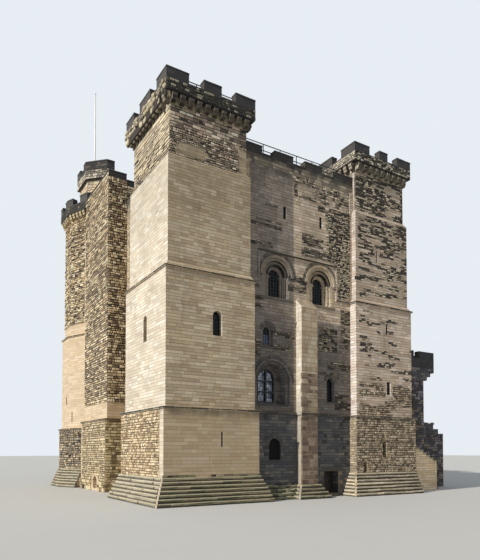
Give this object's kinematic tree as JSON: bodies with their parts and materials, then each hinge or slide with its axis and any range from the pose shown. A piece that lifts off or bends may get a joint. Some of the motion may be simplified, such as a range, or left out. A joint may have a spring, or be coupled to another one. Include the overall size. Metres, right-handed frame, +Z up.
{
  "type": "castle keep",
  "caption": "Square stone keep with four corner towers on corbelled battlements, a many-sided tower with a flag turret, a hinged ground door and an outer stair.",
  "frame": {"origin": "middle of the main block on the ground", "axes": "+X east along the south front, +Y north, +Z up"},
  "size_m": [27.51, 24.97, 34.3],
  "materials": {
    "ashlar": "coursed sandstone ashlar, weathered",
    "base_stone": "squared rubble with a stepped, mossy plinth",
    "rubble_stone": "rough coursed rubble",
    "corbel_stone": "dressed sandstone, patchy with soot",
    "sooted_stone": "sandstone black with soot",
    "paving_stone": "worn stone slabs",
    "oak": "dark weathered oak",
    "iron": "painted wrought iron",
    "window_glass": "dark leaded glass",
    "roof_lead": "dull sheet lead",
    "white_paint": "white gloss paint"
  },
  "bodies": {
    "keep": {"ground_floor": "paving_stone", "first_floor": "paving_stone", "hall_floor": "paving_stone", "roof": "roof_lead", "tower_floors": "paving_stone", "sw_tower_base": "base_stone", "sw_tower_shaft": "ashlar", "sw_tower_corbels": "corbel_stone", "sw_tower_parapet": "sooted_stone", "se_tower_base": "base_stone", "se_tower_shaft": "ashlar", "se_tower_corbels": "corbel_stone", "se_tower_parapet": "sooted_stone", "ne_tower_base": "base_stone", "ne_tower_shaft": "ashlar", "ne_tower_corbels": "corbel_stone", "ne_tower_parapet": "sooted_stone", "nw_tower_base": "base_stone", "nw_tower_shaft": "ashlar", "nw_tower_corbels": "corbel_stone", "nw_tower_parapet": "sooted_stone", "south_wall_base_west": "base_stone", "south_wall_base_east": "base_stone", "south_wall_over_door": "base_stone", "south_wall_lower": "ashlar", "south_wall_upper": "ashlar", "south_buttress": "ashlar", "south_parapet": "sooted_stone", "hall_window_west": "ashlar", "hall_window_east": "ashlar", "great_window": "ashlar", "window_glass": "window_glass", "west_wall": "rubble_stone", "west_block": "rubble_stone", "west_parapet": "sooted_stone", "north_wall": "ashlar", "north_parapet": "sooted_stone", "east_wall": "ashlar", "east_parapet": "sooted_stone", "flag_turret": "ashlar", "flag_turret_parapet": "sooted_stone", "flagpole": "white_paint", "railings": "iron", "door_frame": "oak", "door_pintles": "iron", "hall_door": "oak", "outer_stair": "paving_stone", "stair_steps": "paving_stone", "stair_flank_wall": "ashlar", "gate_turret": "rubble_stone", "gate_turret_parapet": "sooted_stone", "forebuilding_wall": "rubble_stone"},
    "door": {"door_leaf": "oak", "door_hinges": "iron"}
  },
  "joints": [
    {"name": "ground_door_hinge", "type": "hinge", "parent": "keep", "child": "door", "pos_m": [1.77504, -10.487, 0.9], "axis": [0, 0, 1], "range_deg": [0, 90]}
  ]
}
